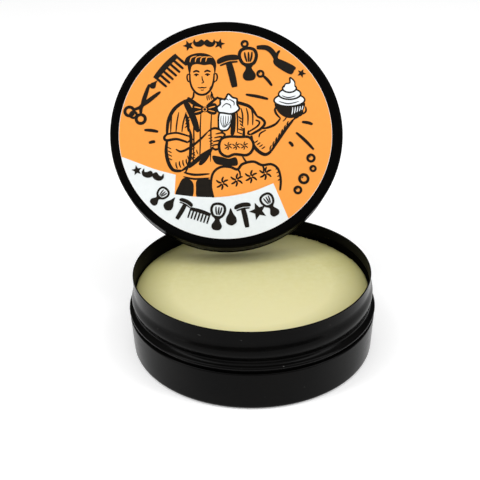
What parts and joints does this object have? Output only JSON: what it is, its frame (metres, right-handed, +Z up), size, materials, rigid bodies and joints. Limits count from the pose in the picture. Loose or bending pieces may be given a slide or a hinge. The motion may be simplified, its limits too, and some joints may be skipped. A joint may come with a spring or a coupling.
{
  "type": "shaving soap puck in a screw tin",
  "caption": "Round shaving soap puck poured into a shallow black screw-top tin, with its labelled screw lid off and leaning back in the open tin.",
  "frame": {"origin": "centre of the tin's foot, on the tin's axis, in the plane that it stands on", "axes": "+Z up the tin's axis; the front is towards -Y, where the leaning lid's labelled face looks; +X to the right of someone facing that side"},
  "size_m": [0.0914, 0.1104, 0.0971],
  "materials": {
    "black_lacquer": "gloss",
    "shaving_soap": "satin",
    "liner_foam": "matte",
    "printed_label": "satin",
    "plain_label": "satin"
  },
  "bodies": {
    "tin": {"jar_body": "black_lacquer", "soap_puck": "shaving_soap", "base_label": "plain_label"},
    "liner": {"lid_liner": "liner_foam"},
    "lid": {"lid_shell": "black_lacquer", "lid_label": "printed_label"}
  },
  "joints": [
    {"name": "lid_lift", "type": "slide", "parent": "tin", "child": "liner", "axis": [0, 0, 1], "range_m": [0, 0.06]},
    {"name": "lid_turn", "type": "hinge", "parent": "liner", "child": "lid", "pos_m": [-0.0078, 0.0341, 0.0635], "axis": [0.018, -0.82, 0.5721], "continuous": true}
  ]
}
